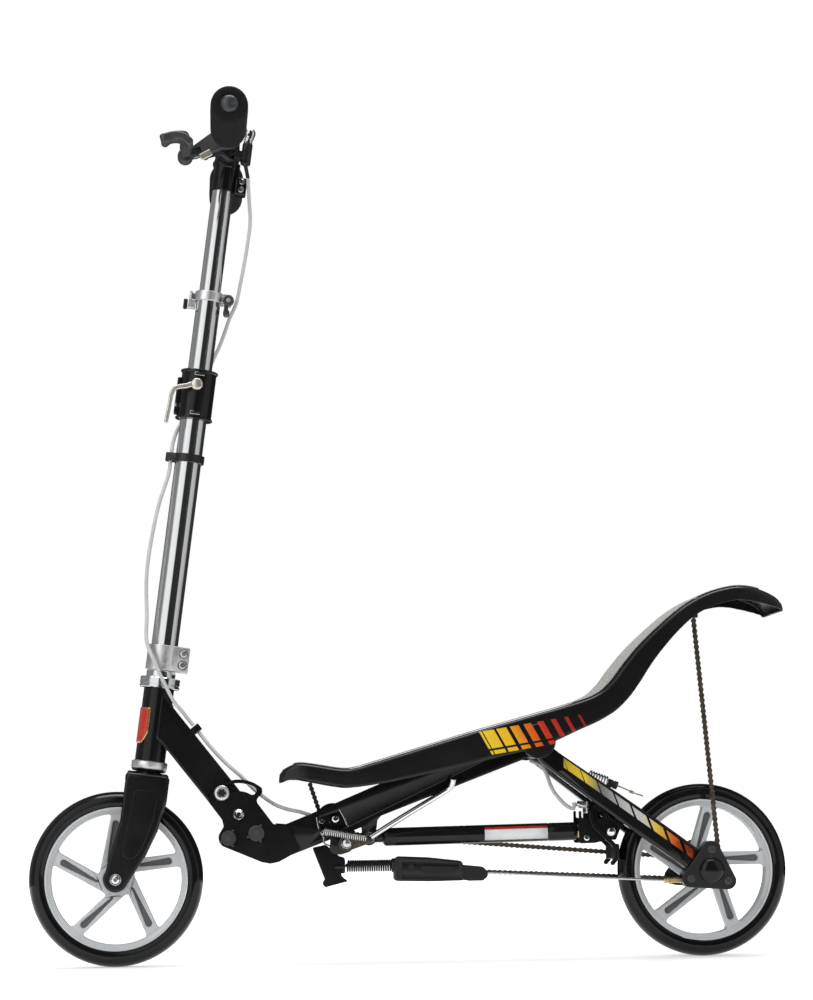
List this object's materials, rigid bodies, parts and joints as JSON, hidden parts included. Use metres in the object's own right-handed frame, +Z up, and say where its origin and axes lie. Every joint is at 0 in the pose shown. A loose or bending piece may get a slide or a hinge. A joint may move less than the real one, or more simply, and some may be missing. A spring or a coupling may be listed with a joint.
{
  "type": "stepper scooter",
  "caption": "Folding two-wheel stepper scooter: a rocking curved deck drives the rear wheel by chains; telescopic column, sprung swing arm, rear brake and kickstand.",
  "frame": {"origin": "centre of the footprint's box, on the ground", "axes": "+X runs from the front wheel to the rear wheel, +Y to the rider's right, +Z up; the brake lever is on the rider's left, at -Y"},
  "size_m": [0.884, 0.4564, 0.9779],
  "materials": {
    "gloss_black": "gloss coat",
    "deck_black": "gloss moulding",
    "satin_black": "satin",
    "black_steel": "satin coat",
    "rim_grey": "silver-grey moulding",
    "tyre": "smooth",
    "chrome": "mirror polish",
    "aluminium": "brushed",
    "bright_steel": "zinc plated",
    "dark_chain": "dark browned steel",
    "brass": "plain",
    "foam": "soft foam",
    "grey_plastic": "fine grain",
    "cable_grey": "smooth sleeve",
    "grip_sheet": "rough grit"
  },
  "bodies": {
    "frame": {"main_beam": "gloss_black", "hinge_bracket": "gloss_black", "pivot_bolt": "bright_steel", "knob_front": "satin_black", "knob_rear": "satin_black", "spring_post": "gloss_black", "apex_axle": "bright_steel", "return_spring": "black_steel", "kickstand_spring": "bright_steel"},
    "neck": {"neck": "gloss_black", "cables_neck": "cable_grey"},
    "lock": {"lock_button": "aluminium"},
    "steer": {"fork": "gloss_black", "headset_ring": "chrome", "stem_clamp": "aluminium", "lower_tube": "chrome", "mid_sleeve": "satin_black", "cable_strap": "satin_black", "cables_column": "cable_grey"},
    "cam": {"cam_lever": "bright_steel"},
    "front_wheel": {"front_tyre": "tyre", "front_rim": "rim_grey"},
    "middle": {"middle_tube": "chrome", "height_collar": "bright_steel", "cables_middle": "cable_grey"},
    "wrap": {"collar_lever": "bright_steel"},
    "bar": {"upper_tube": "chrome", "bar_clamp": "gloss_black", "handlebar": "chrome", "grip_left": "foam", "grip_right": "foam", "brake_perch": "grey_plastic", "bell": "chrome", "cables_bar": "cable_grey"},
    "lever": {"brake_lever": "grey_plastic"},
    "deck": {"deck_shell": "deck_black", "grip_sheet": "grip_sheet", "tail_chain": "dark_chain", "nose_chain": "dark_chain"},
    "swing": {"swing_arm": "gloss_black", "brake_bracket": "black_steel", "hub_cover_near": "satin_black", "hub_cover_far": "satin_black", "cable_anchor": "bright_steel", "cables_rear": "cable_grey", "upper_chain": "dark_chain", "lower_chain": "dark_chain", "drive_cable": "bright_steel"},
    "pad": {"brake_arm": "black_steel"},
    "cylinder": {"strut_cylinder": "gloss_black"},
    "rod": {"strut_rod": "brass"},
    "rear_wheel": {"rear_tyre": "tyre", "rear_rim": "rim_grey"},
    "near_sprocket": {"sprocket_near": "bright_steel"},
    "far_sprocket": {"sprocket_far": "bright_steel"},
    "pulley": {"front_pulley": "satin_black"},
    "block": {"pulley_block": "satin_black"},
    "connector": {"cable_connector": "brass"},
    "stand": {"kickstand": "gloss_black"}
  },
  "joints": [
    {"name": "neck_fold", "type": "hinge", "parent": "frame", "child": "neck", "pos_m": [-0.201, 0, 0.172], "axis": [0, 1, 0], "range_deg": [0, 64], "deforming": ["cables_neck"]},
    {"name": "lock_button_slide", "type": "slide", "parent": "neck", "child": "lock", "axis": [0, -1, 0], "range_m": [0, 0.005], "stiffness_N_per_m": 400, "springref_m": -0.004},
    {"name": "steer", "type": "hinge", "parent": "neck", "child": "steer", "pos_m": [-0.32117, 0, 0.0973], "axis": [0.1288, 0, 0.9917], "range_deg": [-60, 60], "deforming": ["cables_column"]},
    {"name": "front_wheel_spin", "type": "hinge", "parent": "steer", "child": "front_wheel", "pos_m": [-0.342, 0, 0.1], "axis": [0, 1, 0], "continuous": true},
    {"name": "cam_lever_turn", "type": "hinge", "parent": "steer", "child": "cam", "pos_m": [-0.24385, 0, 0.67717], "axis": [0, 1, 0], "range_deg": [0, 110]},
    {"name": "column_slide", "type": "slide", "parent": "steer", "child": "middle", "axis": [0.1288, 0, 0.9917], "range_m": [-0.07, 0.05], "deforming": ["cables_middle"]},
    {"name": "collar_lever_turn", "type": "hinge", "parent": "middle", "child": "wrap", "pos_m": [-0.29837, 0.0125, 0.09433], "axis": [-0.1288, 0, -0.9917], "range_deg": [0, 120]},
    {"name": "bar_height", "type": "slide", "parent": "middle", "child": "bar", "axis": [0.1288, 0, 0.9917], "range_m": [-0.11, 0.06], "deforming": ["cables_bar"]},
    {"name": "brake_lever_pull", "type": "hinge", "parent": "bar", "child": "lever", "pos_m": [-0.24755, -0.088, 0.93678], "axis": [-0.2672, 0, 0.9636], "range_deg": [0, 22], "stiffness_Nm_per_rad": 0.6, "springref_deg": -17.19},
    {"name": "deck_rock", "type": "hinge", "parent": "frame", "child": "deck", "pos_m": [0.144, 0, 0.251], "axis": [0, -1, 0], "range_deg": [-25, 0], "stiffness_Nm_per_rad": 8, "springref_deg": 22.92, "deforming": ["nose_chain", "tail_chain"]},
    {"name": "swing", "type": "hinge", "parent": "frame", "child": "swing", "pos_m": [0.144, 0, 0.251], "axis": [0, -1, 0], "range_deg": [0, 4], "stiffness_Nm_per_rad": 60, "springref_deg": -28.65, "deforming": ["cables_rear", "upper_chain", "lower_chain", "drive_cable"]},
    {"name": "brake_arm_turn", "type": "hinge", "parent": "swing", "child": "pad", "pos_m": [0.2295, 0, 0.146], "axis": [0, -1, 0], "range_deg": [0, 3.7]},
    {"name": "rear_wheel_spin", "type": "hinge", "parent": "swing", "child": "rear_wheel", "pos_m": [0.342, 0, 0.1], "axis": [0, 1, 0], "continuous": true},
    {"name": "sprocket_near_turn", "type": "hinge", "parent": "swing", "child": "near_sprocket", "pos_m": [0.342, 0, 0.1], "axis": [0, 1, 0], "range_deg": [0, 410]},
    {"name": "sprocket_far_turn", "type": "hinge", "parent": "swing", "child": "far_sprocket", "pos_m": [0.342, 0, 0.1], "axis": [0, -1, 0], "range_deg": [0, 540]},
    {"name": "front_pulley_turn", "type": "hinge", "parent": "frame", "child": "pulley", "pos_m": [-0.091, 0.009, 0.164], "axis": [0, 1, 0], "range_deg": [0, 440]},
    {"name": "pulley_block_slide", "type": "slide", "parent": "frame", "child": "block", "axis": [1, 0, 0], "range_m": [0, 0.0145], "deforming": ["return_spring"]},
    {"name": "cable_connector_slide", "type": "slide", "parent": "swing", "child": "connector", "axis": [-1, 0, 0], "range_m": [0, 0.088]},
    {"name": "strut_tilt", "type": "hinge", "parent": "frame", "child": "cylinder", "pos_m": [-0.05, 0, 0.143], "axis": [0, -1, 0], "range_deg": [0, 0.9]},
    {"name": "strut_slide", "type": "slide", "parent": "cylinder", "child": "rod", "axis": [0.9999, 0, 0.0156], "range_m": [0, 0.0075]},
    {"name": "kickstand_turn", "type": "hinge", "parent": "frame", "child": "stand", "pos_m": [-0.077, 0, 0.137], "axis": [0, 1, 0], "range_deg": [0, 93], "deforming": ["kickstand_spring"]}
  ],
  "couplings": [
    {"joint": "brake_arm_turn", "follows": "brake_lever_pull", "ratio": 0.1636},
    {"joint": "sprocket_near_turn", "follows": "deck_rock", "ratio": -16.2},
    {"joint": "sprocket_far_turn", "follows": "deck_rock", "ratio": -21.4},
    {"joint": "front_pulley_turn", "follows": "deck_rock", "ratio": -17.5},
    {"joint": "pulley_block_slide", "follows": "deck_rock", "m_per_rad": -0.032},
    {"joint": "cable_connector_slide", "follows": "deck_rock", "m_per_rad": -0.1986},
    {"joint": "strut_tilt", "follows": "swing", "ratio": 0.22},
    {"joint": "strut_slide", "follows": "swing", "m_per_rad": 0.104}
  ]
}
